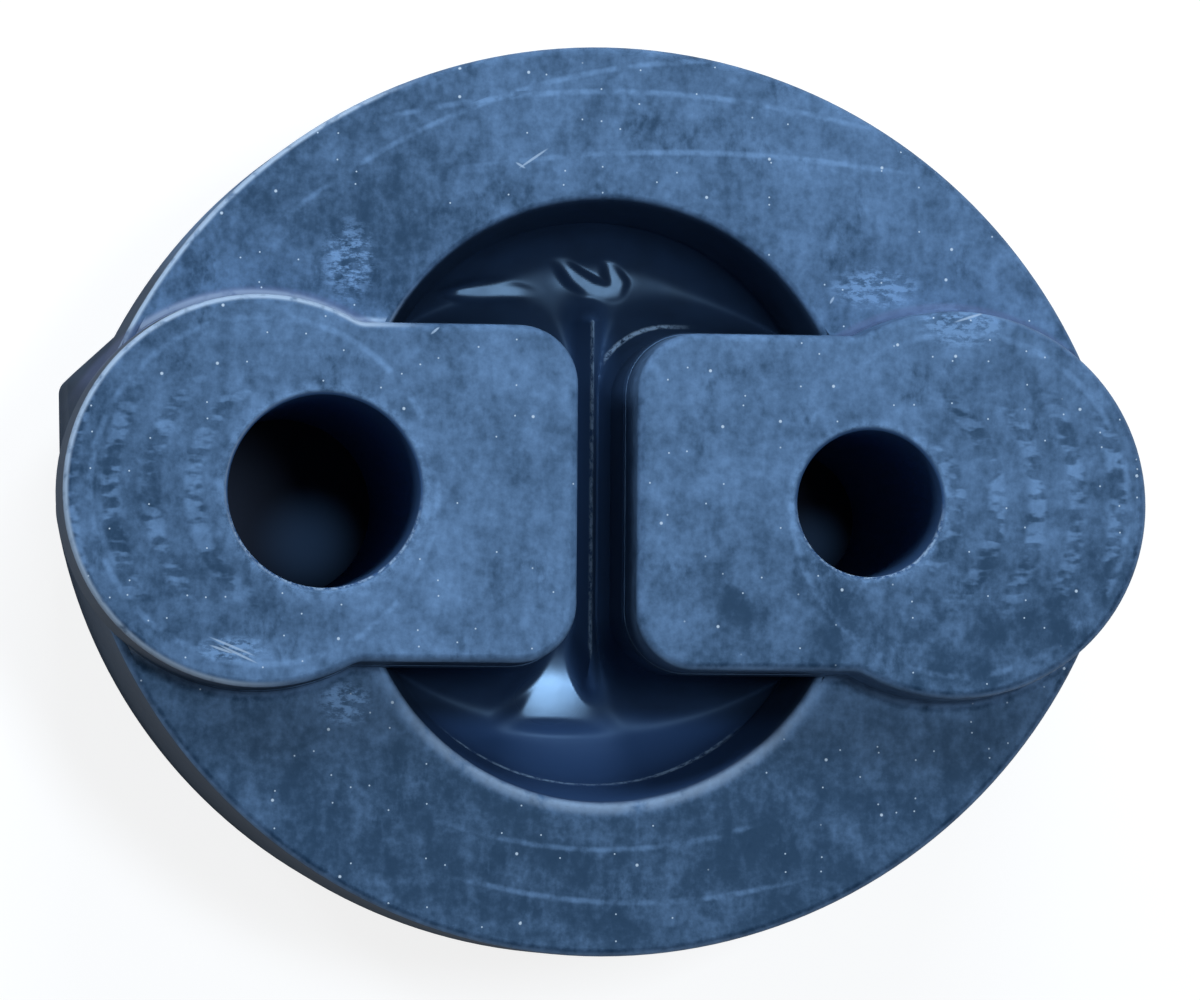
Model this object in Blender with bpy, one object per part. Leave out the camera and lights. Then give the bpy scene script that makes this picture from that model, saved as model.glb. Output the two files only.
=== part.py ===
"""Rubber exhaust mount: one moulding with two bored lugs held across the opening of a ring.

The mount lies on the rear faces of its lugs. +Z is the way its front faces look, +X runs
from the big bore to the small one, and the origin is under the middle, where it rests.
"""

from math import asin, atan2, cos, pi, radians, sin, sqrt, tan

import bmesh
import bpy

# Sizes in millimetres, turned to metres where a mesh is made.
MM = 0.001

# Ring: two long arcs that meet at blunt tips, left and right.
RING_HEIGHT = 62.4
RING_ARC_RADIUS = 36.9
RING_CENTRE_X = 0.3
RING_TIP_RADIUS = 6.0
RING_THICKNESS = 24.0
RING_DRAFT = 0.3
RING_EDGE_RADIUS = 0.6

# Opening in the ring, closed at mid-thickness by a web.
OPENING_RADIUS = 16.8
OPENING_HEIGHT = 41.3
OPENING_EDGE_RADIUS = 0.5
OPENING_DRAFT = 1.0
WEB_THICKNESS = 2.4
WEB_FILLET = 3.4

# Lugs: a block with rounded inner corners that ends in a round head. Their reach is from the
# slot's middle. The big-bore lug sits a little above the ring's middle, the other as far below.
LUG_RISE = 5.5
LUG_OFFSET_Y = 0.2
LUG_HEIGHT = 22.85
BIG_LUG_REACH = 36.75
SMALL_LUG_REACH = 37.25
LUG_CORNER_RADIUS = 4.05
LUG_DRAFT = 0.25
LUG_EDGE_RADIUS = 0.6
LUG_WEB_FLARE = 3.0
LUG_FOOT_FILLET = 0.8
HEAD_STEP_FRONT = 1.8
HEAD_STEP_REAR = 0.15
HEAD_BLEND_RADIUS = 1.6
REAR_TIP_SETBACK = 1.8
LUG_ROOT_IN_RING = 14.6
LUG_ROOT_STEP = 0.1
SLOT_WIDTH = 4.06

# Bores, placed by the wall between the slot and the bore.
BIG_BORE_WALL = 10.7
SMALL_BORE_WALL = 11.0
BIG_BORE_DIAMETER = 13.0
SMALL_BORE_DIAMETER = 10.0
BORE_EDGE_RADIUS = 0.4

# Strap along the slot: a rib on the web that ends a little beyond the lugs.
STRAP_WIDTH = 1.4
STRAP_LENGTH = 26.8
STRAP_RISE = 4.4
STRAP_FOOT_FILLET = 2.6
STRAP_CREST_RADIUS = 0.5

# Shoulder on the ring's outer side, above the big-bore lug. It fades out towards the front.
SHOULDER_HEIGHT = 8.5
SHOULDER_PROUD = 2.2
SHOULDER_RADIUS = 1.2
SHOULDER_LENGTH = 18.0
SHOULDER_FLANK = radians(7)

# How far one shape runs into another so that they join cleanly.
OVERLAP = 0.4

# Heights that follow from the sizes.
TOTAL_THICKNESS = RING_THICKNESS + 2 * LUG_RISE
MID_HEIGHT = TOTAL_THICKNESS / 2
RING_HALF = RING_THICKNESS / 2
WEB_HALF = WEB_THICKNESS / 2
LUG_HALF = TOTAL_THICKNESS / 2
RING_ARC_OFFSET = RING_ARC_RADIUS - RING_HEIGHT / 2
SLOT_CENTRE_X = (BIG_LUG_REACH - SMALL_LUG_REACH) / 2
BIG_BORE_X = SLOT_CENTRE_X - SLOT_WIDTH / 2 - BIG_BORE_WALL - BIG_BORE_DIAMETER / 2
SMALL_BORE_X = SLOT_CENTRE_X + SLOT_WIDTH / 2 + SMALL_BORE_WALL + SMALL_BORE_DIAMETER / 2

# Fineness of the round stretches.
FILLET_STEPS = 3
HOLLOW_STEPS = 4
CORNER_STEPS = 6
HEAD_STEPS = 28
RING_ARC_STEPS = 34
OPENING_STEPS = 24
BORE_STEPS = 40
SHALLOWEST_BLEND = 0.05

RUBBER_COLOR = (0.045, 0.095, 0.17, 1.0)
RUBBER_ROUGHNESS = 0.55


def clear_scene():
    for old in list(bpy.data.objects):
        bpy.data.objects.remove(old, do_unlink=True)


def arc(centre, radius, start, end, steps):
    """Points along an arc, both ends included, with the angles in radians."""
    points = []
    for i in range(steps + 1):
        angle = start + (end - start) * i / steps
        points.append((centre[0] + radius * cos(angle), centre[1] + radius * sin(angle)))
    return points


def ring_outline(grow):
    """Outer outline of the ring, offset outwards by grow."""
    inner_radius = RING_ARC_RADIUS - RING_TIP_RADIUS
    tip_x = sqrt(inner_radius**2 - RING_ARC_OFFSET**2)
    tip_angle = asin(RING_ARC_OFFSET / inner_radius)
    long_radius = RING_ARC_RADIUS + grow
    tip_radius = RING_TIP_RADIUS + grow
    top_centre = (RING_CENTRE_X, -RING_ARC_OFFSET)
    bottom_centre = (RING_CENTRE_X, RING_ARC_OFFSET)
    left_centre = (RING_CENTRE_X - tip_x, 0)
    right_centre = (RING_CENTRE_X + tip_x, 0)
    points = arc(top_centre, long_radius, tip_angle, pi - tip_angle, RING_ARC_STEPS)
    points += arc(left_centre, tip_radius, pi - tip_angle, pi + tip_angle, FILLET_STEPS)[1:]
    points += arc(bottom_centre, long_radius, pi + tip_angle, 2 * pi - tip_angle, RING_ARC_STEPS)[1:]
    points += arc(right_centre, tip_radius, -tip_angle, tip_angle, FILLET_STEPS)[1:-1]
    return points


def opening_outline(grow):
    """Outline of the opening: two half circles joined by short straight sides."""
    rise = OPENING_HEIGHT / 2 - OPENING_RADIUS
    radius = OPENING_RADIUS + grow
    upper = arc((RING_CENTRE_X, rise), radius, 0, pi, OPENING_STEPS)
    lower = arc((RING_CENTRE_X, -rise), radius, pi, 2 * pi, OPENING_STEPS)
    return upper + lower


def lug_outline(side, head_step, reach, grow):
    """Outline of one lug, offset outwards by grow; side is 1 for +X and -1 for -X."""
    half = LUG_HEIGHT / 2
    head_radius = half + head_step
    head_x = reach - head_radius
    blend = max(HEAD_BLEND_RADIUS - grow, SHALLOWEST_BLEND)
    blend_y = half + grow + blend
    blend_x = head_x - sqrt((head_radius + grow + blend) ** 2 - blend_y**2)
    meet = atan2(-blend_y, blend_x - head_x)
    corner_x = SLOT_WIDTH / 2 + LUG_CORNER_RADIUS
    corner_y = half - LUG_CORNER_RADIUS
    corner_radius = LUG_CORNER_RADIUS + grow
    lower = arc((corner_x, -corner_y), corner_radius, pi, 1.5 * pi, CORNER_STEPS)
    lower += arc((blend_x, -blend_y), blend, pi / 2, meet + pi, FILLET_STEPS)
    head = arc((head_x, 0), head_radius + grow, meet, -meet, HEAD_STEPS)[1:-1]
    upper = [(x, -y) for x, y in reversed(lower)]
    points = lower + head + upper
    if side < 0:
        points = [(-x, y) for x, y in reversed(points)]
    return [(SLOT_CENTRE_X + x, y - side * LUG_OFFSET_Y) for x, y in points]


def strap_outline(grow):
    """Outline of the strap in the slot, with round ends."""
    rise = STRAP_LENGTH / 2 - STRAP_WIDTH / 2
    radius = STRAP_WIDTH / 2 + grow
    upper = arc((RING_CENTRE_X, rise), radius, 0, pi, CORNER_STEPS)
    lower = arc((RING_CENTRE_X, -rise), radius, pi, 2 * pi, CORNER_STEPS)
    return upper + lower


def bore_outline(centre_x, radius):
    """Outline of a bore in the lug that it is on the side of."""
    centre_y = LUG_OFFSET_Y if centre_x < 0 else -LUG_OFFSET_Y
    return arc((centre_x, centre_y), radius, 0, 2 * pi, BORE_STEPS)[:-1]


def rounded_edge(radius, face_z, inward):
    """(grow, z) steps over a rounded edge, from the side wall up to the face."""
    steps = []
    for i in range(FILLET_STEPS + 1):
        angle = pi / 2 * i / FILLET_STEPS
        steps.append((-radius * (1 - cos(angle)), face_z - inward * radius * (1 - sin(angle))))
    return steps


def hollow_fillet(radius, floor_z, upward):
    """(grow, z) steps over a hollow fillet that widens towards the floor."""
    steps = []
    for i in range(HOLLOW_STEPS + 1):
        angle = pi / 2 * i / HOLLOW_STEPS
        steps.append((radius * (1 - cos(angle)), floor_z + upward * radius * (1 - sin(angle))))
    return steps


def loft(name, outline, profile):
    """A closed solid through the outline at each (grow, z) of the profile, lowest first."""
    return loft_through(name, [(outline(grow), z) for grow, z in profile])


def loft_through(name, sections):
    """A closed solid through sections of as many points each, lowest first."""
    mesh = bmesh.new()
    rings = []
    for points, z in sections:
        rings.append([mesh.verts.new((x * MM, y * MM, z * MM)) for x, y in points])
    for below, above in zip(rings, rings[1:]):
        for i in range(len(below)):
            j = (i + 1) % len(below)
            mesh.faces.new((below[i], below[j], above[j], above[i]))
    mesh.faces.new(list(reversed(rings[0])))
    mesh.faces.new(rings[-1])
    bmesh.ops.recalc_face_normals(mesh, faces=mesh.faces)
    data = bpy.data.meshes.new(name)
    mesh.to_mesh(data)
    mesh.free()
    obj = bpy.data.objects.new(name, data)
    bpy.context.scene.collection.objects.link(obj)
    return obj


def combine(body, other, operation):
    """Joins the other solid to the body, or cuts it out, and keeps it as a hidden helper."""
    other.hide_render = True
    other.display_type = "WIRE"
    step = body.modifiers.new(f"{operation.lower()} {other.name}", "BOOLEAN")
    step.operation = operation
    step.solver = "EXACT"
    step.object = other


def ring_blank():
    front = rounded_edge(RING_EDGE_RADIUS, MID_HEIGHT + RING_HALF, 1)
    rear = rounded_edge(RING_EDGE_RADIUS, MID_HEIGHT - RING_HALF, -1)
    profile = list(reversed(rear)) + [(RING_DRAFT, MID_HEIGHT)] + front
    return loft("mount_body", ring_outline, profile)


def shoulder():
    """Small blunt corner that stands out of the ring's side and fades towards the front."""
    arc_x = sqrt(RING_ARC_RADIUS**2 - (SHOULDER_HEIGHT + RING_ARC_OFFSET) ** 2)
    corner_x = arc_x + SHOULDER_PROUD
    start_angle = asin((SHOULDER_HEIGHT + RING_ARC_OFFSET) / RING_ARC_RADIUS) + SHOULDER_FLANK
    start_x = (RING_ARC_RADIUS - OVERLAP / 2) * cos(start_angle)
    start_y = (RING_ARC_RADIUS - OVERLAP / 2) * sin(start_angle) - RING_ARC_OFFSET
    facing = atan2(start_y - SHOULDER_HEIGHT, start_x - corner_x) - pi / 2
    round_y = SHOULDER_HEIGHT - SHOULDER_RADIUS * tan(facing / 2)
    tip_x = sqrt(RING_ARC_RADIUS**2 - RING_ARC_OFFSET**2) - OVERLAP
    inner_x = arc_x - 3 * SHOULDER_PROUD

    def outline(grow):
        round_x = corner_x + grow - SHOULDER_RADIUS
        points = [(inner_x, 0), (tip_x, 0)]
        points += arc((round_x, round_y + grow / 2), SHOULDER_RADIUS, 0, facing, FILLET_STEPS)
        points += [(start_x, start_y), (inner_x, start_y)]
        return [(RING_CENTRE_X - x, y) for x, y in reversed(points)]

    rear_face = MID_HEIGHT - RING_HALF
    profile = list(reversed(rounded_edge(RING_EDGE_RADIUS, rear_face + RING_DRAFT, -1)))
    profile.append((0, MID_HEIGHT))
    profile.append((-SHOULDER_PROUD, rear_face + SHOULDER_LENGTH))
    return loft("shoulder", outline, profile)


def pocket(name, facing):
    """The recess in the opening on one side of the web, with a drafted wall and a hollow foot."""
    face = MID_HEIGHT + facing * RING_HALF
    floor = MID_HEIGHT + facing * WEB_HALF
    wall_foot = floor + facing * WEB_FILLET
    mouth = face - facing * OPENING_EDGE_RADIUS
    profile = []
    for i in range(HOLLOW_STEPS + 1):
        angle = pi / 2 * i / HOLLOW_STEPS
        grow = -OPENING_DRAFT - WEB_FILLET * (1 - sin(angle))
        profile.append((grow, wall_foot - facing * WEB_FILLET * cos(angle)))
    for i in range(FILLET_STEPS + 1):
        angle = pi / 2 * i / FILLET_STEPS
        grow = OPENING_EDGE_RADIUS * (1 - cos(angle))
        profile.append((grow, mouth + facing * OPENING_EDGE_RADIUS * sin(angle)))
    profile.append((OPENING_EDGE_RADIUS, face + facing * OVERLAP))
    if facing < 0:
        profile.reverse()
    return loft(name, opening_outline, profile)


def lug_head(side, facing):
    """(head step, reach) of a lug's raised part at the front or the rear."""
    reach = SMALL_LUG_REACH if side > 0 else BIG_LUG_REACH
    if facing > 0:
        return HEAD_STEP_FRONT, reach
    return HEAD_STEP_REAR, reach - REAR_TIP_SETBACK


def lug_half(name, side, facing):
    """The front or the rear half of a lug: a bar inside the ring, then the raised head."""
    floor = MID_HEIGHT + facing * WEB_HALF
    face = MID_HEIGHT + facing * RING_HALF
    root = (LUG_ROOT_STEP, OPENING_RADIUS + LUG_ROOT_IN_RING)
    head = lug_head(side, facing)
    widest = LUG_DRAFT + LUG_WEB_FLARE
    sections = [(lug_outline(side, *root, widest), MID_HEIGHT + facing * (WEB_HALF - OVERLAP))]
    for grow, z in reversed(hollow_fillet(LUG_WEB_FLARE, floor, facing)):
        sections.append((lug_outline(side, *root, LUG_DRAFT + grow), z))
    sections.append((lug_outline(side, *root, LUG_DRAFT), face - facing * OVERLAP))
    sections.append((lug_outline(side, *head, LUG_DRAFT), face - facing * OVERLAP / 2))
    for grow, z in rounded_edge(LUG_EDGE_RADIUS, MID_HEIGHT + facing * LUG_HALF, facing):
        sections.append((lug_outline(side, *head, grow), z))
    if facing < 0:
        sections.reverse()
    return loft_through(name, sections)


def lug_foot(name, side, facing):
    """Small fillet where a lug stands on the ring's face, ended at the face's own edge."""
    head = lug_head(side, facing)
    face = MID_HEIGHT + facing * RING_HALF
    profile = [(LUG_DRAFT + LUG_FOOT_FILLET, face - facing * OVERLAP)]
    for grow, z in reversed(hollow_fillet(LUG_FOOT_FILLET, face, facing)):
        profile.append((LUG_DRAFT + grow, z))
    profile.append((-OVERLAP, face + facing * (LUG_FOOT_FILLET + OVERLAP)))
    if facing < 0:
        profile.reverse()
    foot = loft(name, lambda grow: lug_outline(side, *head, grow), profile)
    reach = LUG_FOOT_FILLET + 2 * OVERLAP
    inset = -RING_EDGE_RADIUS - OVERLAP / 8
    column = loft(f"{name}_limit", ring_outline, [(inset, face - reach), (inset, face + reach)])
    combine(foot, column, "INTERSECT")
    return foot


def strap():
    """The rib in the slot, front and rear in one, with a hollow fillet all round its foot."""
    profile = []
    for facing in (-1, 1):
        floor = MID_HEIGHT + facing * WEB_HALF
        side = list(reversed(hollow_fillet(STRAP_FOOT_FILLET, floor, facing)))
        side += rounded_edge(STRAP_CREST_RADIUS, floor + facing * STRAP_RISE, facing)
        profile += side if facing > 0 else list(reversed(side))
    return loft("strap", strap_outline, profile)


def bore(name, centre_x, diameter):
    """A straight bore through a lug, with its edge rounded at both faces."""
    front = TOTAL_THICKNESS
    profile = [(BORE_EDGE_RADIUS, -OVERLAP)]
    for i in range(FILLET_STEPS + 1):
        angle = pi / 2 * i / FILLET_STEPS
        profile.append((BORE_EDGE_RADIUS * (1 - sin(angle)), BORE_EDGE_RADIUS * (1 - cos(angle))))
    for i in range(FILLET_STEPS + 1):
        angle = pi / 2 * i / FILLET_STEPS
        height = front - BORE_EDGE_RADIUS * (1 - sin(angle))
        profile.append((BORE_EDGE_RADIUS * (1 - cos(angle)), height))
    profile.append((BORE_EDGE_RADIUS, front + OVERLAP))
    return loft(name, lambda grow: bore_outline(centre_x, diameter / 2 + grow), profile)


def rubber():
    material = bpy.data.materials.new("moulded black rubber")
    material.use_nodes = True
    shader = material.node_tree.nodes["Principled BSDF"]
    shader.inputs["Base Color"].default_value = RUBBER_COLOR
    shader.inputs["Roughness"].default_value = RUBBER_ROUGHNESS
    shader.inputs["Metallic"].default_value = 0.0
    return material


def build():
    clear_scene()
    body = ring_blank()
    combine(body, shoulder(), "UNION")
    for facing, face in ((1, "front"), (-1, "rear")):
        for side, bore_name in ((-1, "big"), (1, "small")):
            combine(body, lug_foot(f"{bore_name}_lug_foot_{face}", side, facing), "UNION")
    for facing, face in ((1, "front"), (-1, "rear")):
        combine(body, pocket(f"{face}_pocket", facing), "DIFFERENCE")
    combine(body, strap(), "UNION")
    for facing, face in ((1, "front"), (-1, "rear")):
        for side, bore_name in ((-1, "big"), (1, "small")):
            combine(body, lug_half(f"{bore_name}_lug_{face}", side, facing), "UNION")
    combine(body, bore("big_bore", BIG_BORE_X, BIG_BORE_DIAMETER), "DIFFERENCE")
    combine(body, bore("small_bore", SMALL_BORE_X, SMALL_BORE_DIAMETER), "DIFFERENCE")
    body.data.shade_smooth()
    body.data.set_sharp_from_angle(angle=radians(35))
    body.data.materials.append(rubber())


build()
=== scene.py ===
from math import asin, atan2, cos, pi, radians, sin, sqrt

import bmesh
import bpy
import numpy as np
from mathutils import Matrix, Vector


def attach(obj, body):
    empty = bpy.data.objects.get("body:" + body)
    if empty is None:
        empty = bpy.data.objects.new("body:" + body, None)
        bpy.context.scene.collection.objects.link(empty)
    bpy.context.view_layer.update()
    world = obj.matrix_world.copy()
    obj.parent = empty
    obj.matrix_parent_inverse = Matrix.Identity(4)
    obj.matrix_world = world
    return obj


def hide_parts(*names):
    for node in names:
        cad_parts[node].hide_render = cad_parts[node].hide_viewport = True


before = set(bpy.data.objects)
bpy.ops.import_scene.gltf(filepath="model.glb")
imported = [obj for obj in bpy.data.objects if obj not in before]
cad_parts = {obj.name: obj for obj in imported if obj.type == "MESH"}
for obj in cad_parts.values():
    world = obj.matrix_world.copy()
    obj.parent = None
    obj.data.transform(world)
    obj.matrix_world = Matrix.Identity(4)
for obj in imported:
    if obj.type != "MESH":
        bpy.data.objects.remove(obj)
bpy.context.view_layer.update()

# The mount: one compression-moulded piece of black rubber, with nothing bonded in. Its outside is
# matt with a faint pale bloom and a little dust; the recess and the bores keep the tool's gloss.
# It is built in the order of its forms: ring, shoulder, lug feet, opening, web, lugs and bores.

# The ring: two long arcs that meet in blunt tips. All sizes are millimetres.
MM = 0.001
RING_HEIGHT = 62.4
RING_ARC_RADIUS = 36.9
RING_CENTRE_X = 0.3
RING_TIP_RADIUS = 6.0
RING_THICKNESS = 24.0
RING_DRAFT = 0.28
RING_EDGE_RADIUS = 0.6
RING_ARC_OFFSET = RING_ARC_RADIUS - RING_HEIGHT / 2
LUG_RISE = 5.5
TOTAL_THICKNESS = RING_THICKNESS + 2 * LUG_RISE
MID_HEIGHT = TOTAL_THICKNESS / 2
RING_HALF = RING_THICKNESS / 2
EDGE_STEPS = 6


def arc(centre, radius, start, end, steps):
    angles = np.linspace(start, end, steps + 1)
    return [(centre[0] + radius * cos(a), centre[1] + radius * sin(a)) for a in angles]


def ring_outline(grow):
    inner_radius = RING_ARC_RADIUS - RING_TIP_RADIUS
    tip_x = sqrt(inner_radius**2 - RING_ARC_OFFSET**2)
    tip = asin(RING_ARC_OFFSET / inner_radius)
    long_radius = RING_ARC_RADIUS + grow
    tip_radius = RING_TIP_RADIUS + grow
    points = arc((RING_CENTRE_X, -RING_ARC_OFFSET), long_radius, tip, pi - tip, 90)
    points += arc((RING_CENTRE_X - tip_x, 0), tip_radius, pi - tip, pi + tip, 6)[1:]
    points += arc((RING_CENTRE_X, RING_ARC_OFFSET), long_radius, pi + tip, 2 * pi - tip, 90)[1:]
    points += arc((RING_CENTRE_X + tip_x, 0), tip_radius, -tip, tip, 6)[1:-1]
    return points


def rounded_edge(radius, face_z, inward):
    angles = np.linspace(0, pi / 2, EDGE_STEPS + 1)
    return [(-radius * (1 - cos(a)), face_z - inward * radius * (1 - sin(a))) for a in angles]


def new_object(name, mesh):
    bmesh.ops.recalc_face_normals(mesh, faces=mesh.faces)
    data = bpy.data.meshes.new(name)
    mesh.to_mesh(data)
    mesh.free()
    obj = bpy.data.objects.new(name, data)
    bpy.context.scene.collection.objects.link(obj)
    return obj


def loft_through(name, sections):
    """A closed solid through outlines with the same number of points, each at its own height."""
    mesh = bmesh.new()
    rings = [[mesh.verts.new((x * MM, y * MM, z * MM)) for x, y in pts] for pts, z in sections]
    for below, above in zip(rings, rings[1:]):
        for i in range(len(below)):
            j = (i + 1) % len(below)
            mesh.faces.new((below[i], below[j], above[j], above[i]))
    mesh.faces.new(list(reversed(rings[0])))
    mesh.faces.new(rings[-1])
    return new_object(name, mesh)


ring_front = rounded_edge(RING_EDGE_RADIUS, MID_HEIGHT + RING_HALF, 1)
ring_rear = rounded_edge(RING_EDGE_RADIUS, MID_HEIGHT - RING_HALF, -1)
ring_profile = list(reversed(ring_rear)) + [(RING_DRAFT, MID_HEIGHT)] + ring_front
body = loft_through("mount_body_rubber", [(ring_outline(g), z) for g, z in ring_profile])

# The shoulder: a small blunt step on the ring's side above the big-bore lug, fading to the front.
SHOULDER_HEIGHT = 8.5
SHOULDER_PROUD = 2.2
SHOULDER_RADIUS = 1.2
SHOULDER_LENGTH = 18.0
SHOULDER_FLANK = radians(7)
OVERLAP = 0.4


def combine(body, other, operation):
    step = body.modifiers.new(f"{operation} {other.name}", "BOOLEAN")
    step.operation = operation
    step.solver = "MANIFOLD"
    step.object = other
    bpy.context.view_layer.objects.active = body
    bpy.ops.object.modifier_apply(modifier=step.name)
    bpy.data.objects.remove(other)


def shoulder():
    arc_x = sqrt(RING_ARC_RADIUS**2 - (SHOULDER_HEIGHT + RING_ARC_OFFSET) ** 2)
    corner_x = arc_x + SHOULDER_PROUD
    start = asin((SHOULDER_HEIGHT + RING_ARC_OFFSET) / RING_ARC_RADIUS) + SHOULDER_FLANK
    start_x = (RING_ARC_RADIUS - OVERLAP / 2) * cos(start)
    start_y = (RING_ARC_RADIUS - OVERLAP / 2) * sin(start) - RING_ARC_OFFSET
    facing = atan2(start_y - SHOULDER_HEIGHT, start_x - corner_x) - pi / 2
    round_y = SHOULDER_HEIGHT - SHOULDER_RADIUS * np.tan(facing / 2)
    tip_x = sqrt(RING_ARC_RADIUS**2 - RING_ARC_OFFSET**2) - OVERLAP
    inner_x = arc_x - 3 * SHOULDER_PROUD

    def outline(grow):
        round_x = corner_x + grow - SHOULDER_RADIUS
        points = [(inner_x, 0), (tip_x, 0)]
        points += arc((round_x, round_y + grow / 2), SHOULDER_RADIUS, 0, facing, 8)
        points += [(start_x, start_y), (inner_x, start_y)]
        return [(RING_CENTRE_X - x, y) for x, y in reversed(points)]

    rear_face = MID_HEIGHT - RING_HALF
    profile = list(reversed(rounded_edge(RING_EDGE_RADIUS, rear_face + RING_DRAFT, -1)))
    profile += [(-0.05, MID_HEIGHT), (-SHOULDER_PROUD, rear_face + SHOULDER_LENGTH)]
    return loft_through("shoulder", [(outline(g), z) for g, z in profile])


combine(body, shoulder(), "UNION")

# The feet of the two lugs: a small fillet where each lug stands proud of the ring's faces.
LUG_OFFSET_Y = 0.2
LUG_HEIGHT = 22.85
BIG_LUG_REACH = 36.75
SMALL_LUG_REACH = 37.25
LUG_CORNER_RADIUS = 4.05
LUG_DRAFT = 0.23
LUG_EDGE_RADIUS = 0.6
LUG_FOOT_FILLET = 0.8
HEAD_STEP_FRONT = 1.8
HEAD_STEP_REAR = 0.15
HEAD_BLEND_RADIUS = 1.6
REAR_TIP_SETBACK = 1.8
SLOT_WIDTH = 4.06
SLOT_CENTRE_X = (BIG_LUG_REACH - SMALL_LUG_REACH) / 2


def lug_outline(side, head_step, reach, grow):
    half = LUG_HEIGHT / 2
    head_radius = half + head_step
    head_x = reach - head_radius
    blend = HEAD_BLEND_RADIUS - grow
    blend_y = half + grow + blend
    blend_x = head_x - sqrt((head_radius + grow + blend) ** 2 - blend_y**2)
    meet = atan2(-blend_y, blend_x - head_x)
    corner = (SLOT_WIDTH / 2 + LUG_CORNER_RADIUS, -half + LUG_CORNER_RADIUS)
    lower = arc(corner, LUG_CORNER_RADIUS + grow, pi, 1.5 * pi, 14)
    lower += arc((blend_x, -blend_y), blend, pi / 2, meet + pi, 8)
    head = arc((head_x, 0), head_radius + grow, meet, -meet, 80)[1:-1]
    points = lower + head + [(x, -y) for x, y in reversed(lower)]
    if side < 0:
        points = [(-x, y) for x, y in reversed(points)]
    return [(SLOT_CENTRE_X + x, y - side * LUG_OFFSET_Y) for x, y in points]


def lug_head(side, facing):
    """How far the head steps out from the lug's sides, and how far it reaches from the slot."""
    reach = SMALL_LUG_REACH if side > 0 else BIG_LUG_REACH
    if facing > 0:
        return HEAD_STEP_FRONT, reach
    return HEAD_STEP_REAR, reach - REAR_TIP_SETBACK


def lug_foot(name, side, facing):
    head = lug_head(side, facing)
    face = MID_HEIGHT + facing * RING_HALF
    profile = [(LUG_DRAFT + LUG_FOOT_FILLET, face - facing * OVERLAP)]
    for a in np.linspace(pi / 2, 0, EDGE_STEPS + 1):
        grow = LUG_DRAFT + LUG_FOOT_FILLET * (1 - cos(a))
        profile.append((grow, face + facing * LUG_FOOT_FILLET * (1 - sin(a))))
    profile.append((-OVERLAP, face + facing * (LUG_FOOT_FILLET + OVERLAP)))
    if facing < 0:
        profile.reverse()
    foot = loft_through(name, [(lug_outline(side, *head, g), z) for g, z in profile])
    reach = LUG_FOOT_FILLET + 2 * OVERLAP
    inset = -RING_EDGE_RADIUS - OVERLAP / 8
    limit = [(ring_outline(inset), face - reach), (ring_outline(inset), face + reach)]
    combine(foot, loft_through(f"{name}_limit", limit), "INTERSECT")
    return foot


for facing in (1, -1):
    for side in (-1, 1):
        combine(body, lug_foot(f"foot{side}{facing}", side, facing), "UNION")

# The opening: two half circles, with drafted walls and rounded rims, before the web closes it.
OPENING_RADIUS = 16.8
OPENING_HEIGHT = 41.3
OPENING_RISE = OPENING_HEIGHT / 2 - OPENING_RADIUS
OPENING_EDGE_RADIUS = 0.5
OPENING_DRAFT = 1.0
WEB_HALF = 1.2
WALL_FILLET = 4.6


def opening_outline(grow):
    radius = OPENING_RADIUS + grow
    upper = arc((RING_CENTRE_X, OPENING_RISE), radius, 0, pi, 72)
    lower = arc((RING_CENTRE_X, -OPENING_RISE), radius, pi, 2 * pi, 72)
    return upper + lower


def through_opening():
    front = MID_HEIGHT + RING_HALF
    angles = np.linspace(0, pi / 2, EDGE_STEPS + 1)
    radius = OPENING_EDGE_RADIUS
    wall = [(-OPENING_DRAFT, MID_HEIGHT), (-OPENING_DRAFT, MID_HEIGHT + WEB_HALF + WALL_FILLET)]
    rim = [(radius * (1 - cos(a)), front - radius * (1 - sin(a))) for a in angles]
    upper = wall + rim + [(radius, front + OVERLAP)]
    lower = [(g, TOTAL_THICKNESS - z) for g, z in reversed(upper[1:])]
    return loft_through("opening", [(opening_outline(g), z) for g, z in lower + upper])


combine(body, through_opening(), "DIFFERENCE")

# The web at mid-thickness, with all that rises from it: the fillet at the wall's foot, the lugs'
# flared sides, the strap, and in front the hook, the long flat and the swelling. What shines in
# front is tilted by a degree or two, as on the real piece, where the light overhead catches it.
LOW_FILLET_EXTRA = 1.2
LOW_FILLET_SPAN = 7
BIG_LUG_FLARE = 5.0
SMALL_LUG_FLARE = 5.6
FLARE_BLEND = 0.5
STEEPEST = radians(70)
STRAP_WIDTH = 1.4
STRAP_LENGTH = 26.8
STRAP_RISE = 4.4
STRAP_CROWN = 0.5
STRAP_FOOT_FILLET = 2.8
STRAP_BLEND = 0.6
TILT_X = 0.031
TILT_Y = 0.022
HOOK_RISE = 0.64
HOOK_WIDTH = 0.70
HOOK_MIDDLE = (0.5, 16)
HOOK_BENDS = ((-1.85, 17.5), (-0.45, 16.1), (0.6, 15.3), (1.6, 15.0), (2.3, 15.1), (2.5, 15.7),
              (1.8, 17.3))
FLAT_MIDDLE = (-6.75, 15.0)
FLAT_HALF_LENGTH = 3.9
FLAT_RISE = 0.50
SWELLING_MIDDLE = (-1.75, -13.4)
SWELLING_REACH = 3.5
SWELLING_FLANK = 2.0
SWELLING_RISE = 1.0
HIGHEST = 9.0
GRID_X = (-18.6, 19.3)
GRID_Y = (-22.4, 22.5)
GRID_STEP = 0.15


def smooth_max(a, b, width):
    share = np.clip(0.5 + 0.5 * (a - b) / width, 0, 1)
    return b + (a - b) * share + width * share * (1 - share)


def smooth_step(value):
    share = np.clip(value, 0, 1)
    return share * share * (3 - 2 * share)


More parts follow.
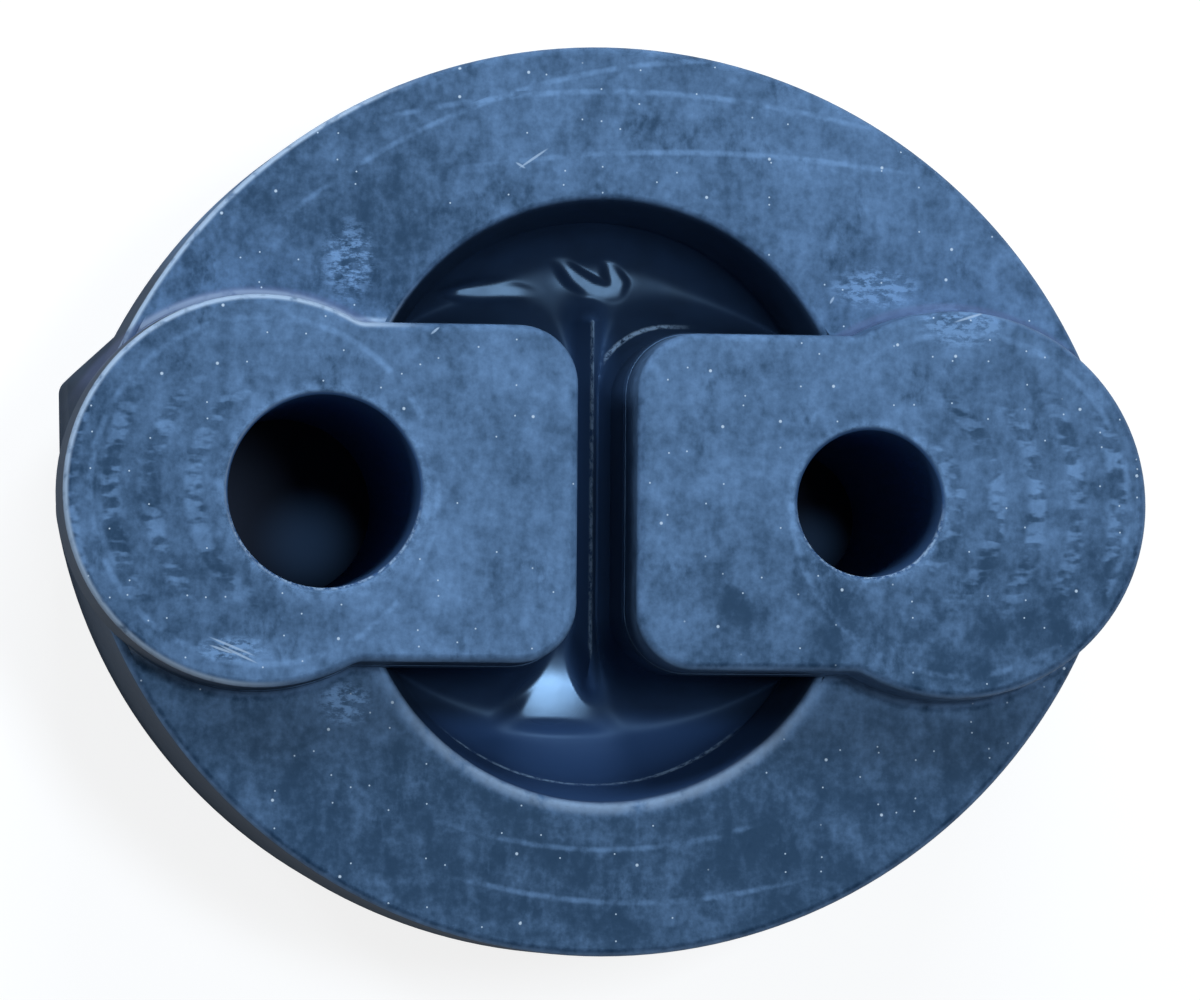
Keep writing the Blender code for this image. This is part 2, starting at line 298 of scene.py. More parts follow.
def hollow(distance, radius):
    """Height of a hollow fillet over the web, at a distance from the wall it runs up."""
    steep = radius * (1 - sin(STEEPEST))
    inside = np.clip(radius - np.maximum(distance, steep), 0, None)
    height = radius - np.sqrt(radius**2 - inside**2)
    return height + np.clip(steep - distance, 0, None) * np.tan(STEEPEST)


def from_leg(x, y, start, end):
    """Distance from one straight stretch of the hook."""
    run = Vector(end) - Vector(start)
    along = ((x - start[0]) * run.x + (y - start[1]) * run.y) / run.length
    across = ((x - start[0]) * run.y - (y - start[1]) * run.x) / run.length
    return np.hypot(across, along - np.clip(along, 0, run.length))


def with_hook(floor, x, y):
    outside = np.min([from_leg(x, y, *leg) for leg in zip(HOOK_BENDS, HOOK_BENDS[1:])], axis=0)
    width = HOOK_WIDTH * (1.05 + 0.5 * smooth_step((17.6 - y) / 2.2))
    share = smooth_step((width - outside) / HOOK_WIDTH)
    level = HOOK_RISE - TILT_X * (x - HOOK_MIDDLE[0]) + TILT_Y * (y - HOOK_MIDDLE[1])
    return floor * (1 - share) + np.maximum(level, floor) * share


def with_flat(floor, x, y):
    """A long pointed flat in the hollow above the big lug."""
    aside = x - FLAT_MIDDLE[0]
    above = y - FLAT_MIDDLE[1]
    u = aside / FLAT_HALF_LENGTH
    v = (above + 0.25 * u**2 - 0.15 * u) / (0.15 + 0.95 * np.clip(1 - u**2, 0, 1))
    share = smooth_step((1 - u**2) * 1.3) * smooth_step((1 - np.abs(v)) * 1.4)
    level = FLAT_RISE - TILT_X * aside + TILT_Y * above
    return floor * (1 - share) + level * share


def with_swelling(floor, x, y):
    """A swelling with three blunt corners at the strap's lower end, under the big lug's corner."""
    aside = x - SWELLING_MIDDLE[0]
    above = y - SWELLING_MIDDLE[1]
    corner = smooth_max(-above, 0.87 * np.sqrt(aside**2 + 0.1) + 0.5 * above, 0.9)
    share = smooth_step((SWELLING_REACH - corner) / SWELLING_FLANK)
    dome = 0.034 * aside + 0.012 * above + 0.010 * (aside**2 + above**2)
    return floor * (1 - share) + (SWELLING_RISE - dome) * share


def recess_height(x, y, facing):
    """Height of the recess floor over the web's plane."""
    from_x = x - RING_CENTRE_X
    beyond = np.clip(np.abs(y) - OPENING_RISE, 0, None)
    to_wall = OPENING_RADIUS - OPENING_DRAFT - np.hypot(from_x, beyond)
    lower = 1 / (1 + np.exp(y))
    extra = LOW_FILLET_EXTRA * np.exp(-(from_x / LOW_FILLET_SPAN) ** 2) * lower
    floor = hollow(to_wall, WALL_FILLET + extra)
    for side, flare in ((-1, BIG_LUG_FLARE), (1, SMALL_LUG_FLARE)):
        across = side * (x - SLOT_CENTRE_X) - SLOT_WIDTH / 2 - LUG_CORNER_RADIUS
        along = np.abs(y + side * LUG_OFFSET_Y) - LUG_HEIGHT / 2 + LUG_CORNER_RADIUS
        out_x = np.clip(-across, 0, None)
        out_y = np.clip(along, 0, None)
        to_lug = np.hypot(out_x, out_y) - LUG_CORNER_RADIUS - LUG_DRAFT
        floor = smooth_max(floor, hollow(to_lug, flare), FLARE_BLEND)
    past_end = np.clip(np.abs(y) - (STRAP_LENGTH - STRAP_WIDTH) / 2, 0, None)
    from_axis = np.hypot(from_x, past_end)
    foot = np.minimum(hollow(from_axis - STRAP_WIDTH / 2, STRAP_FOOT_FILLET), STRAP_RISE)
    crown = STRAP_RISE - STRAP_CROWN * np.clip(from_axis / (STRAP_WIDTH / 2), 0, 1) ** 4
    floor = smooth_max(floor, np.minimum(foot, crown), STRAP_BLEND)
    if facing > 0:
        floor = with_hook(floor, x, y)
        floor = with_flat(floor, x, y)
        floor = with_swelling(floor, x, y)
    return np.clip(floor, 0, HIGHEST)


def web(step):
    """A closed slab with both recess floors, whose rim lies inside the ring."""
    grid_x, grid_y = np.meshgrid(np.arange(*GRID_X, step), np.arange(*GRID_Y, step))
    mesh = bmesh.new()
    layers = []
    for facing in (-1, 1):
        z = MID_HEIGHT + facing * (WEB_HALF + recess_height(grid_x, grid_y, facing))
        layers.append([[mesh.verts.new((float(a) * MM, float(b) * MM, float(c) * MM))
                        for a, b, c in zip(*row)] for row in zip(grid_x, grid_y, z)])
    rear, front = layers
    rows, columns = grid_x.shape
    for i in range(rows - 1):
        for j in range(columns - 1):
            mesh.faces.new((front[i][j], front[i][j + 1], front[i + 1][j + 1], front[i + 1][j]))
            mesh.faces.new((rear[i][j], rear[i + 1][j], rear[i + 1][j + 1], rear[i][j + 1]))
    for i in range(rows - 1):
        for j in (0, columns - 1):
            mesh.faces.new((rear[i][j], rear[i + 1][j], front[i + 1][j], front[i][j]))
    for j in range(columns - 1):
        for i in (0, rows - 1):
            mesh.faces.new((rear[i][j], rear[i][j + 1], front[i][j + 1], front[i][j]))
    return new_object("web", mesh)


combine(body, web(GRID_STEP), "UNION")

# The lugs across the opening: blocks with rounded inner corners that end in round heads.
LUG_ROOT_STEP = 0.1
LUG_ROOT_IN_RING = 15.0


def lug_half(name, side, facing):
    face = MID_HEIGHT + facing * RING_HALF
    root = (LUG_ROOT_STEP, OPENING_RADIUS + LUG_ROOT_IN_RING)
    head = lug_head(side, facing)
    sections = [(lug_outline(side, *root, LUG_DRAFT), MID_HEIGHT - facing * OVERLAP)]
    sections.append((lug_outline(side, *root, LUG_DRAFT), face - facing * OVERLAP))
    sections.append((lug_outline(side, *head, LUG_DRAFT), face - facing * OVERLAP / 2))
    for grow, z in rounded_edge(LUG_EDGE_RADIUS, MID_HEIGHT + facing * TOTAL_THICKNESS / 2, facing):
        sections.append((lug_outline(side, *head, grow), z))
    if facing < 0:
        sections.reverse()
    return loft_through(name, sections)


for facing in (1, -1):
    for side in (-1, 1):
        combine(body, lug_half(f"lug{side}{facing}", side, facing), "UNION")

# The bores for the two hanger rods, straight through the lugs, with rounded edges.
BIG_BORE_DIAMETER = 13.0
SMALL_BORE_DIAMETER = 10.0
BIG_BORE_WALL = 10.7
SMALL_BORE_WALL = 11.0
BIG_BORE_X = SLOT_CENTRE_X - SLOT_WIDTH / 2 - BIG_BORE_WALL - BIG_BORE_DIAMETER / 2
SMALL_BORE_X = SLOT_CENTRE_X + SLOT_WIDTH / 2 + SMALL_BORE_WALL + SMALL_BORE_DIAMETER / 2
BORE_EDGE_RADIUS = 0.4


def bore(name, centre_x, diameter):
    centre = (centre_x, LUG_OFFSET_Y if centre_x < 0 else -LUG_OFFSET_Y)
    angles = np.linspace(0, pi / 2, EDGE_STEPS + 1)
    radius = BORE_EDGE_RADIUS
    lower = [(radius, -OVERLAP)] + [(radius * (1 - sin(a)), radius * (1 - cos(a))) for a in angles]
    upper = [(g, TOTAL_THICKNESS - z) for g, z in reversed(lower)]
    return loft_through(name, [(arc(centre, diameter / 2 + g, 0, 2 * pi, 96)[:-1], z)
                               for g, z in lower + upper])


combine(body, bore("big_bore", BIG_BORE_X, BIG_BORE_DIAMETER), "DIFFERENCE")
combine(body, bore("small_bore", SMALL_BORE_X, SMALL_BORE_DIAMETER), "DIFFERENCE")
body.data.shade_smooth()
body.data.set_sharp_from_angle(angle=radians(48))
weighted = body.modifiers.new("weighted normals", "WEIGHTED_NORMAL")
weighted.keep_sharp = True
bpy.context.view_layer.objects.active = body
bpy.ops.object.modifier_apply(modifier=weighted.name)

# The rubber: carbon-filled, moulded in a steel tool. Outside it is matt, and pale wax has bloomed
# to the surface, so that it looks slate blue and mottled. Where the tool was polished, in the
# recess and the bores, it is near black and shines softly.
material = bpy.data.materials.new("moulded black rubber")
material.use_nodes = True
tree = material.node_tree
shader = tree.nodes["Principled BSDF"]
MODES = {"Math": "operation", "VectorMath": "operation", "MapRange": "interpolation_type",
         "Mix": "data_type"}
TIMES = "Math MULTIPLY"
PLUS = "Math ADD"
LARGER = "Math MAXIMUM"
SMALLER = "Math MINIMUM"
SIZE = "Math ABSOLUTE"
FADE = "MapRange SMOOTHSTEP"
BLEND = "Mix RGBA"


def linear(hex_colour):
    channels = [int(hex_colour[i:i + 2], 16) / 255 for i in (0, 2, 4)]
    return [c / 12.92 if c <= 0.04045 else ((c + 0.055) / 1.055) ** 2.4 for c in channels] + [1]


def add(kind, *values, out=0, **settings):
    """Adds a shader node, named with its mode, and returns an output. Its inputs are given in
    order, or by socket in a dictionary, as values or as the outputs of other nodes."""
    node, _, mode = kind.partition(" ")
    made = tree.nodes.new("ShaderNode" + node)
    if mode:
        setattr(made, MODES[node], mode)
    for key, value in settings.items():
        setattr(made, key, value)
    inputs = values[0] if values and isinstance(values[0], dict) else dict(enumerate(values))
    for key, value in inputs.items():
        if isinstance(value, bpy.types.NodeSocket):
            tree.links.new(value, made.inputs[key])
        else:
            made.inputs[key].default_value = value
    return made.outputs[out]


def distance_from(centre, stretch=(1, 1, 0)):
    """Distance from an upright axis in millimetres, times the stretch."""
    offset = add("VectorMath SUBTRACT", place, centre)
    offset = add("VectorMath MULTIPLY", offset, stretch)
    return add("VectorMath LENGTH", offset, out=1)


def patches(size, detail=3.0, roughness=0.55, stretch=(1, 1, 1), seed=0.0):
    """Soft random patches whose size is given in millimetres."""
    where = add("VectorMath MULTIPLY", place, stretch)
    where = add("VectorMath ADD", where, add("VectorMath SCALE", {0: (1, 1.7, 0), "Scale": seed}))
    return add("TexNoise", {"Vector": where, "Scale": 1 / size, "Detail": detail,
                            "Roughness": roughness})


# Places in millimetres, how flat a face lies, and distances from the main forms.
place = add("VectorMath SCALE", {0: add("TexCoord", out=3), "Scale": 1 / MM})
x = add("SeparateXYZ", place, out=0)
y = add("SeparateXYZ", place, out=1)
z = add("SeparateXYZ", place, out=2)
lying = add(SIZE, add("SeparateXYZ", add("TexCoord", out=1), out=2))
from_middle = add(SIZE, add(PLUS, z, -MID_HEIGHT))
folded = add("VectorMath SUBTRACT", place, (RING_CENTRE_X, 0, 0))
folded = add("VectorMath ABSOLUTE", folded)
folded = add("VectorMath SUBTRACT", folded, (0, OPENING_RISE, 999))
folded = add("VectorMath MAXIMUM", folded, (0, 0, 0))
from_opening = add("VectorMath LENGTH", folded, out=1)
to_big_bore = distance_from((BIG_BORE_X, LUG_OFFSET_Y, 0))
to_small_bore = distance_from((SMALL_BORE_X, -LUG_OFFSET_Y, 0))
to_bore = add(SMALLER, to_big_bore, to_small_bore)
HEAD_RADIUS = LUG_HEIGHT / 2 + HEAD_STEP_FRONT
to_big_head = distance_from((HEAD_RADIUS - BIG_LUG_REACH, LUG_OFFSET_Y, 0))
to_small_head = distance_from((SMALL_LUG_REACH - HEAD_RADIUS, -LUG_OFFSET_Y, 0))
to_head = add(SMALLER, to_big_head, to_small_head)

# Where the inside, the ring's faces and the lugs' faces are.
recess = add(TIMES, add(FADE, from_opening, 17.1, 16.6), add(FADE, from_middle, 16.6, 12.0))
on_ring = add(TIMES, lying, add(FADE, from_middle, 11.9, 12.1))
recess = add(TIMES, recess, add(FADE, on_ring, 0.9, 0.6))
bores = add(LARGER, add(FADE, to_big_bore, 6.8, 6.55), add(FADE, to_small_bore, 5.3, 5.05))
inside = add(LARGER, recess, bores)
flat = add(FADE, lying, 0.7, 0.95)
ring_face = add(TIMES, add(FADE, from_middle, 13.0, 12.4), flat)
lug_face = add(TIMES, add(FADE, from_middle, 16.9, 17.3), flat)

# The bloom: clouds of 9 mm, mottling of 3 mm, short upright strokes and a fine grain.
mottle = patches(3.2, 4.0, 0.58)
grain = patches(0.6, 3.0, 0.6)
strokes = patches(1.1, 3.0, 0.6, (1, 0.45, 1), 17.0)
pits = add(TIMES, add(FADE, patches(5.0, 3.0, seed=31.0), 0.54, 0.66),
           add(FADE, patches(0.6, 4.0, 0.6, (1, 0.5, 1), 7.0), 0.42, 0.66))
marks = [(mottle, 0.9), (grain, 0.8), (strokes, 0.7), (pits, -0.22)]

# It is thinner on the ring, at its upper left and on the ends of the lugs. Low down on the ring
# it is darker with painted shade from the light above; the small lug is darker low down, in patches.
painted_shade_ring_low = add(TIMES, ring_face, add(FADE, y, -8.0, -20.0))
ring_corner = add(TIMES, add(FADE, y, 8.0, 14.0), add(FADE, x, -8.0, -16.0))
ring_corner = add(TIMES, ring_face, ring_corner)
big_lug_end = add(TIMES, lug_face, add(FADE, x, -20.0, -27.0))
small_lug_end = add(TIMES, lug_face, add(FADE, x, 20.0, 27.0))
small_lug_lower = add(TIMES, add(FADE, y, 1.0, -9.0), add(TIMES, add(FADE, x, 2.0, 8.0), lug_face))
worn_patches = add(TIMES, small_lug_lower, add(FADE, patches(3.5, 4.0, seed=3.0), 0.42, 0.58))
marks += [(painted_shade_ring_low, -0.32), (ring_corner, -0.20), (ring_face, -0.06), (big_lug_end, -0.14),
          (small_lug_end, -0.10), (small_lug_lower, -0.16), (worn_patches, -0.20)]

# Witness lines of the tool on the ring: arcs, each with its centre, radius and stretch in height.
# They are broken by one pattern, which is shifted for each by its radius.
lines = 0.0
seed = 0.0
for centre, radius, low, high in (((1.5, -36.8, 0), 64.9, 25.6, 26.4),
                                  ((6.3, -67.9, 0), 91.9, 22.6, 23.2),
                                  ((9.1, -17.3, 0), 47.7, 19.0, 21.0),
                                  ((0.3, 8.9, 0), 32.8, -21.8, -22.6),
                                  ((2.3, 15.1, 0), 42.6, -25.6, -26.4)):
    off = add(SIZE, add(PLUS, distance_from(centre), -radius))
    line = add(TIMES, add(FADE, off, 0.30, 0.04), add(FADE, y, low, high))
    lines = add(PLUS, lines, line)
    seed = add(PLUS, seed, add(TIMES, add("Math GREATER_THAN", line, 0.0), radius))
broken = add(FADE, patches(1.6, 4.0, seed=seed), 0.30, 0.62)
marks.append((add(TIMES, add(TIMES, lines, ring_face), broken), 0.38))

# Flow ripples in bent columns, 2.8 mm apart, round the outer halves of the lugs' heads.
wave = add(PLUS, add(FADE, patches(0.75, 2.0, 0.5, (0.42, 1, 1), 23.0), 0.44, 0.60), -0.35)
turn = add(PLUS, add(TIMES, to_bore, 2 * pi / 2.8), 0.67)
columns = add(FADE, add("Math SINE", turn), -0.3, 0.8)
outer_half = add(TIMES, add(FADE, add(SIZE, x), 20.0, 23.0), add(FADE, add(SIZE, y), 9.0, 5.0))
ripple = add(TIMES, add(TIMES, wave, columns), outer_half)
marks.append((add(TIMES, ripple, lug_face), 0.50))

# Pale scuffs, each with its middle and stretch, scratched by one pattern that is shifted for each.
scuffs = 0.0
seed = 0.0
for centre, stretch in (((-17.4, 16.2, 0), (0.45, 0.30, 0)), ((-17.4, -14.0, 0), (0.45, 0.55, 0)),
                        ((19.0, 14.9, 0), (0.28, 0.60, 0)), ((-25.6, -10.5, 0), (0.35, 0.95, 0)),
                        ((24.0, 12.2, 0), (0.30, 0.50, 0))):
    scuff = add(FADE, distance_from(centre, stretch), 1.1, 0.3)
    scuffs = add(PLUS, scuffs, scuff)
    seed = add(PLUS, seed, add(TIMES, add("Math GREATER_THAN", scuff, 0.0), centre[0]))
scratched = add(FADE, patches(0.9, 4.0, 0.7, (1, 2.2, 1), seed), 0.42, 0.60)
marks.append((add(TIMES, scuffs, scratched), 0.85))

# Slightly paler where the outside rounds over, partly bloom and partly painted highlight; a painted
# highlight along the opening's lower rim, which faces the light above; paler on the bores' lips,
# and in a faint line inside the outline of the lugs' heads.
rounding = add(FADE, lying, 0.98, 0.75)
painted_rim_highlight = add(TIMES, add(FADE, from_opening, 18.2, 17.3), add(FADE, y, -5.0, -14.0))
lips = add(LARGER, add(FADE, to_big_bore, 8.0, 6.7), add(FADE, to_small_bore, 6.2, 5.2))
lips = add(TIMES, add(TIMES, lips, lug_face), add(FADE, patches(0.8, 4.0, 0.6, seed=21.0), 0.40, 0.62))
off = add(SIZE, add(PLUS, to_head, -11.7))
head_line = add(TIMES, add(TIMES, add(FADE, off, 0.35, 0.05), lug_face),
                add(FADE, patches(2.0, 3.0, seed=41.0), 0.42, 0.60))
marks += [(rounding, 0.08), (add(TIMES, painted_rim_highlight, ring_face), 0.40), (lips, 0.34), (head_line, 0.30)]

bloom = add(PLUS, add(TIMES, patches(9, 2.0), 0.5), -0.96)
for mask, weight in marks:
    bloom = add(PLUS, bloom, add(TIMES, mask, weight))
bloom = add("Math SMOOTH_MAX", bloom, 0.0, 0.30)
matt = add(BLEND, {0: bloom, 6: linear("17314b"), 7: linear("7091b9")}, out=2)

# Painted highlights on the rounded edges that face the lamps: the outer ends at the left, the ring's
# upper left, and the lower rim.
lug_edge = add(TIMES, add(FADE, from_middle, 16.7, 17.1), add(FADE, x, -20.0, -27.0))
ring_edge = add(TIMES, add(FADE, from_middle, 11.0, 11.4), add(FADE, x, -12.0, -18.0))
ring_edge = add(TIMES, ring_edge, add(FADE, y, 6.0, 10.0))
painted_low_rim_highlight = add(TIMES, add(FADE, from_opening, 17.9, 17.1), add(FADE, y, -11.0, -18.0))
painted_low_rim_highlight = add(TIMES, painted_low_rim_highlight, add(FADE, from_middle, 11.0, 11.8))
painted_edge_highlight = add(TIMES, add(TIMES, add(LARGER, lug_edge, ring_edge), rounding), 0.85)
painted_edge_highlight = add(LARGER, painted_edge_highlight, add(TIMES, painted_low_rim_highlight, 0.40))
painted_edge_highlight = add(TIMES, painted_edge_highlight, add(FADE, patches(1.2, 3.0, seed=51.0), 0.22, 0.50))
matt = add(BLEND, {0: painted_edge_highlight, 6: matt, 7: linear("b4c6db")}, out=2)

# Hairs and fine scratches: short straight strokes, each with its middle, turn and half length.
for centre, degrees_turned, half_length in (((-4.8, 23.4, 0), 35, 1.25), ((-5.7, 22.9, 0), -30, 0.4),
                                            ((-25.6, -10.3, 0), -22, 1.7),
                                            ((-25.2, -10.8, 0), -25, 1.5),
                                            ((-26.3, -10.5, 0), -19, 0.9),
                                            ((-12.1, 11.1, 0), 40, 0.4),
                                            ((16.0, 14.0, 0), 60, 0.3), ((24.6, 12.6, 0), 18, 1.2)):
    offset = add("VectorMath SUBTRACT", place, centre)
    turned = {"Vector": offset, "Angle": radians(-degrees_turned)}
    offset = add("VectorRotate", turned, rotation_type="Z_AXIS")
    offset = add("VectorMath MULTIPLY", offset, (1 / half_length, 1 / 0.09, 0))
    stroke = add(FADE, add("VectorMath LENGTH", offset, out=1), 1.1, 0.6)
    stroke = add(TIMES, add(TIMES, stroke, add(FADE, z, 28.0, 29.0)), 0.65)
    matt = add(BLEND, {0: stroke, 6: matt, 7: linear("b4c6db")}, out=2)

# The sides that face left or down to the left have no bloom and are painted near black,
# as painted shade, turned away from the light above.
painted_shade_sides = add(TIMES, add(FADE, y, 4.0, -5.0), add(FADE, x, 8.0, -8.0))
painted_shade_sides = add(LARGER, painted_shade_sides, add(FADE, x, -27.0, -31.0))
painted_shade_sides = add(TIMES, add(TIMES, painted_shade_sides, add(FADE, lying, 0.45, 0.2)), add(FADE, from_middle, 17.0, 16.7))
matt = add(BLEND, {0: add(TIMES, painted_shade_sides, 0.9), 6: matt, 7: linear("141e2e")}, out=2)

# The grey-violet foot of the lugs' heads on the ring, where the bloom is thickest.
foot = add(TIMES, add(FADE, to_head, 14.3, 13.9), add(FADE, from_middle, 13.6, 13.0))
foot = add(TIMES, foot, add(FADE, y, 6.0, 9.0))
matt = add(BLEND, {0: add(TIMES, foot, 0.55), 6: matt, 7: linear("505a7e")}, out=2)

# Dust: pale specks of a tenth of a millimetre, and a few larger. Each cell of the pattern, sized
# in millimetres, holds at most one speck.
for cell, speck_radius, kept, seed in ((1.3, 0.05, 0.86, 0.0), (4.2, 0.09, 0.74, 5.0)):
    cells = {"Vector": add("VectorMath ADD", place, (seed, seed, 0)), "Scale": 1 / cell}
    near = add("TexVoronoi", cells, out=0, voronoi_dimensions="2D")
    pick = add("SeparateColor", add("TexVoronoi", cells, out=1, voronoi_dimensions="2D"))
    speck = add(FADE, near, speck_radius / cell * 1.5, speck_radius / cell * 0.7)
    speck = add(TIMES, speck, add(FADE, pick, kept, kept + 0.02))
    speck = add(TIMES, speck, add(FADE, lying, 0.6, 0.8))
    matt = add(BLEND, {0: add(TIMES, speck, 0.8), 6: matt, 7: linear("d5e2ee")}, out=2)

# Inside, near black: a little paler along the strap and in the bores, and low in the recess a
# painted sheen, where the lower fillet faces the light above.
gloss = add(BLEND, {0: patches(3.0, 3.0), 6: linear("182436"), 7: linear("263a57")}, out=2)
from_strap = distance_from((RING_CENTRE_X, 0, 0), (1, 0, 0))
along_slot = add(FADE, add(SIZE, y), 15.0, 12.5)
strap_tone = add(TIMES, add(TIMES, add(FADE, from_strap, 2.2, 0.6), along_slot), 0.7)
gloss = add(BLEND, {0: strap_tone, 6: gloss, 7: linear("39557d")}, out=2)
painted_low_sheen = add(TIMES, add(FADE, y, -14.0, -16.0), 0.6)
gloss = add(BLEND, {0: painted_low_sheen, 6: gloss, 7: linear("3a5a8c")}, out=2)
gloss = add(BLEND, {0: add(TIMES, bores, 0.9), 6: gloss, 7: linear("40608c")}, out=2)

# Broken pale lines inside: the bores' lower lips, the strap's crest, the crease at the foot of
# the wall low down, and the foot of the small lug's flare.
small_lip = add(TIMES, add(FADE, to_small_bore, 4.92, 5.08), add(FADE, to_small_bore, 6.0, 5.6))
lip = add(LARGER, add(FADE, to_big_bore, 6.42, 6.58), small_lip)
lip = add(TIMES, lip, add(TIMES, add(FADE, from_middle, 16.6, 17.1), add(FADE, y, 0.5, -3.0)))
lip = add(TIMES, add(TIMES, lip, bores), add(FADE, patches(0.4, 3.0, 0.7, seed=19.0), 0.40, 0.60))
gloss = add(BLEND, {0: add(TIMES, lip, 0.8), 6: gloss, 7: linear("a9c2dc")}, out=2)
crest = add(TIMES, add(FADE, from_middle, 4.9, 5.3), along_slot)
crest = add(TIMES, add(FADE, from_strap, 0.34, 0.14), crest)
off = add(SIZE, add(PLUS, from_opening, -15.72))
crease = add(TIMES, add(FADE, y, -15.2, -17.2), add(FADE, from_middle, 5.9, 5.4))
crease = add(TIMES, add(FADE, off, 0.13, 0.05), crease)
off = add(SIZE, add(PLUS, from_middle, -3.5))
flare_foot = add(TIMES, add(FADE, x, 1.25, 1.5), add(FADE, x, 8.0, 5.0))
flare_foot = add(TIMES, flare_foot, add(TIMES, add(FADE, y, -12.0, -2.0), add(FADE, y, 14.5, 13.5)))
flare_foot = add(TIMES, add(FADE, off, 0.30, 0.08), flare_foot)
pale = add(LARGER, add(LARGER, crest, crease), flare_foot)
pale = add(TIMES, pale, add(FADE, patches(0.45, 3.0, 0.7, seed=9.0), 0.36, 0.60))
gloss = add(BLEND, {0: add(TIMES, pale, 0.85), 6: gloss, 7: linear("9fbcd9")}, out=2)

# Gloss: sharpest on the swelling, then on the hook and the long flat; matt outside, where the
# mottling and the grain also stand a few hundredths of a millimetre proud.
colour = add(BLEND, {0: inside, 6: matt, 7: gloss}, out=2)
polish = add(FADE, distance_from((-2.2, -13.5, 0), (0.25, 0.32, 0)), 1.1, 0.4)
sheen = add(LARGER, add(FADE, distance_from((-6.8, 15.0, 0), (0.24, 0.7, 0)), 1.1, 0.5),
            add(FADE, distance_from((0.8, 16.0, 0), (0.30, 0.55, 0)), 1.1, 0.6))
smoother = add(PLUS, add(TIMES, polish, -0.30), add(TIMES, sheen, -0.19))
glossy = add(PLUS, smoother, add(PLUS, 0.48, add(TIMES, patches(1.5, 3.0, seed=4.0), 0.08)))
rough = add(PLUS, 0.50, add(TIMES, grain, 0.15))
rough = add("Mix FLOAT", {0: inside, 2: rough, 3: glossy})
relief = add(PLUS, add(TIMES, mottle, 0.6), add(TIMES, grain, 0.4))
proud = add("Mix FLOAT", {0: inside, 2: 0.5, 3: 0.06})
bump = add("Bump", {"Height": relief, "Strength": proud, "Distance": 0.00008})
shader.inputs["Specular Tint"].default_value = linear("aed7ff")
tree.links.new(colour, shader.inputs["Base Color"])
tree.links.new(rough, shader.inputs["Roughness"])
tree.links.new(bump, shader.inputs["Normal"])
body.data.materials.clear()
body.data.materials.append(material)
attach(body, "root")
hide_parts("mount_body")

# The floor: a wide sheet of white paper, on which the mount lies free. It is white to the camera
# and, away from the mount, in reflections, and takes the mount's shadow. Under the mount it is
# painted dark as painted shade, and faint blue spots of painted light glow where it is seen through
# the bores.
FLOOR_SIZE = 6
FLOOR_GAP = 0.00002
WHITE_LEVEL = 0.84
bpy.ops.mesh.primitive_plane_add(size=FLOOR_SIZE, location=(0, 0, -FLOOR_GAP))
floor = bpy.context.object
floor.name = "floor"
floor_material = bpy.data.materials.new("white paper")
floor_material.use_nodes = True
tree = floor_material.node_tree
sheet = tree.nodes["Principled BSDF"]
place = add("VectorMath SCALE", {0: add("TexCoord", out=3), "Scale": 1 / MM})
to_edge = add("VectorMath ADD", add("VectorMath ABSOLUTE", place), (0, RING_ARC_OFFSET, 0))
to_edge = add(PLUS, add("VectorMath LENGTH", to_edge, out=1), -RING_ARC_RADIUS)
# Painted shade: under the mount the sheet neither glows nor is pale.
beyond_painted_shade = add(FADE, to_edge, -4.0, -0.8)
# Painted light: faint blue spots on the sheet where it is seen through the bores.
painted_big_bore_light = add(TIMES, add(FADE, distance_from((-17.6, -2.4, 0)), 4.6, 0.3), 0.060)
painted_small_bore_light = add(TIMES, add(FADE, distance_from((19.6, -2.0, 0)), 3.4, 0.3), 0.040)
shown = add(LARGER, beyond_painted_shade, add(LARGER, painted_big_bore_light, painted_small_bore_light))
shown = add(TIMES, add("LightPath", out=0), shown)
# Painted shade in reflections: near the mount, mirror-like rays see the sheet dark.
mirrored = add(LARGER, add("LightPath", out=3), add("LightPath", out=6))
mirrored = add(TIMES, mirrored, add(FADE, to_edge, 0.0, 60.0))
level = add(TIMES, add(LARGER, shown, mirrored), WHITE_LEVEL)
# The glow is painted blue under the mount and white outside; the paper is painted dark under it.
glow = add(BLEND, {0: beyond_painted_shade, 6: linear("6fa2e8"), 7: linear("ffffff")}, out=2)
paper = add(BLEND, {0: beyond_painted_shade, 6: linear("1a2436"), 7: linear("8a8a8a")}, out=2)
tree.links.new(level, sheet.inputs["Emission Strength"])
tree.links.new(glow, sheet.inputs["Emission Color"])
tree.links.new(paper, sheet.inputs["Base Color"])
sheet.inputs["Roughness"].default_value = 0.9
floor.data.materials.append(floor_material)

# Lamps: a soft box beyond the mount's upper edge, a small one overhead whose mirror image gives
# the highlights in the recess, and a strip at the left. They are a little blue, like the picture.
LAMP_COLOUR = (0.76, 0.88, 1)
LAMP_AIM = (0, 0, 0.02)


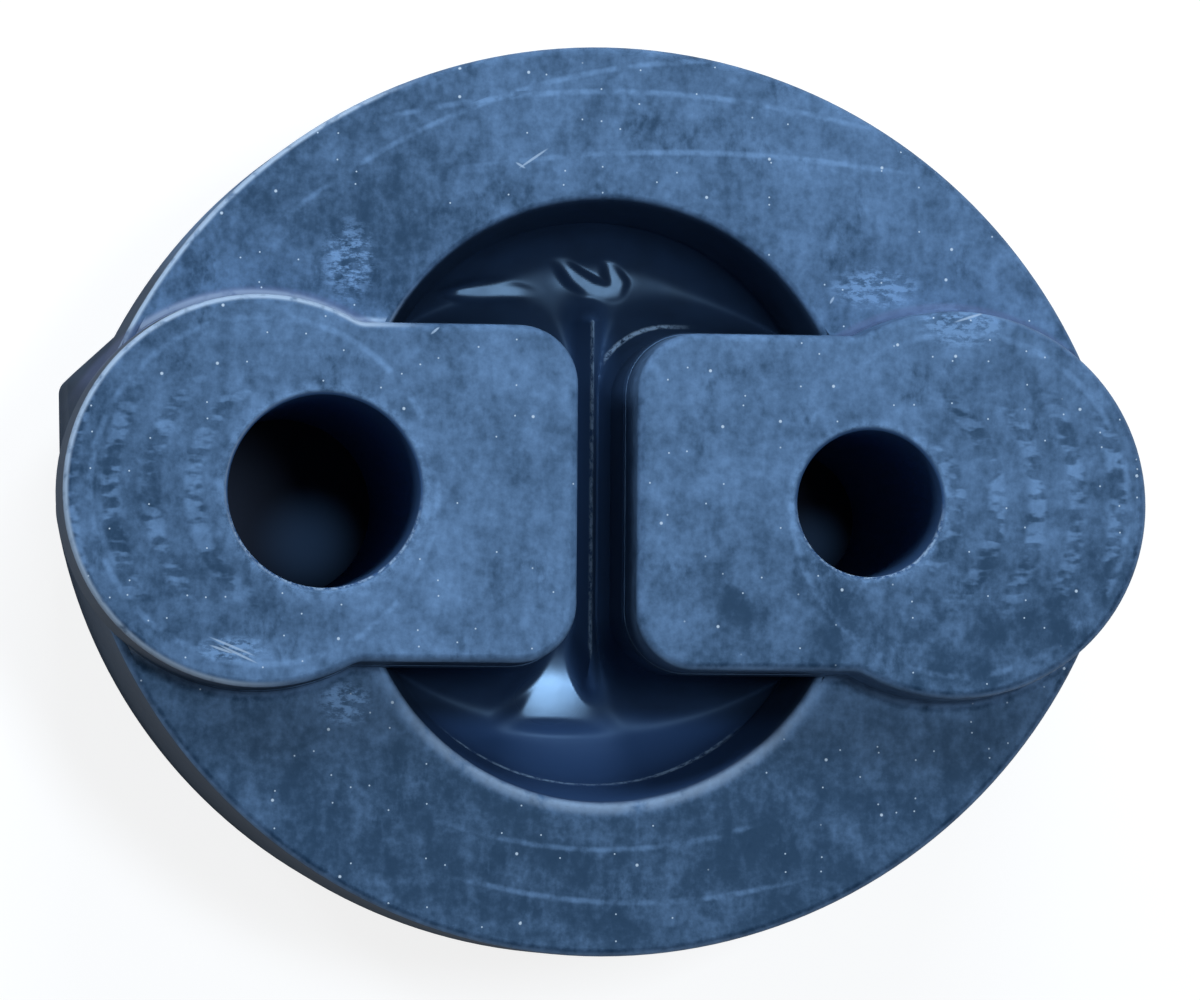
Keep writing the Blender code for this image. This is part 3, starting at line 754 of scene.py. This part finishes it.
def soft_box(name, place, size, watts):
    data = bpy.data.lights.new(name, "AREA")
    data.shape = "RECTANGLE"
    data.size, data.size_y = size
    data.energy = watts
    data.color = LAMP_COLOUR
    lamp = bpy.data.objects.new(name, data)
    lamp.location = place
    lamp.rotation_euler = (Vector(LAMP_AIM) - Vector(place)).to_track_quat("-Z", "Y").to_euler()
    bpy.context.scene.collection.objects.link(lamp)


soft_box("key", (0.03, 0.30, 0.30), (0.20, 0.14), 0.9)
soft_box("overhead", (0.09, 0.03, 0.55), (0.08, 0.08), 1.25)
soft_box("left_strip", (-0.26, 0.20, 0.12), (0.05, 0.16), 0.40)

# The studio: white to the camera, and a dim even light on the mount.
ROOM_LIGHT = 0.10
world = bpy.data.worlds.new("studio")
world.use_nodes = True
tree = world.node_tree
sky = tree.nodes["Background"]
sky.inputs["Color"].default_value = (0.9, 0.95, 1, 1)
tree.links.new(add(LARGER, add("LightPath", out=0), ROOM_LIGHT), sky.inputs["Strength"])
bpy.context.scene.world = world

# Camera: high over the mount's front, a little to its left and below its middle.
CAMERA_PLACE = Vector((-57.45, -15.67, 445.0)) * MM
CAMERA_AIM = Vector((1.614, 0.477, 17.5)) * MM
CAMERA_ROLL = radians(0.412)
FRAME_WIDTH_PX = 1200
FOCAL_LENGTH_PX = 6129.1
camera_data = bpy.data.cameras.new("camera")
camera = bpy.data.objects.new("camera", camera_data)
bpy.context.scene.collection.objects.link(camera)
back = (CAMERA_PLACE - CAMERA_AIM).normalized()
right = Vector((0, 1, 0)).cross(back).normalized()
up = back.cross(right)
rolled_right = right * cos(CAMERA_ROLL) + up * sin(CAMERA_ROLL)
rolled_up = up * cos(CAMERA_ROLL) - right * sin(CAMERA_ROLL)
turned = Matrix((rolled_right, rolled_up, back)).transposed().to_4x4()
camera.matrix_world = Matrix.Translation(CAMERA_PLACE) @ turned
camera_data.sensor_width = 36
camera_data.lens = FOCAL_LENGTH_PX / FRAME_WIDTH_PX * camera_data.sensor_width
camera_data.clip_start = 0.01
bpy.context.scene.camera = camera
bpy.context.scene.view_settings.view_transform = "Standard"
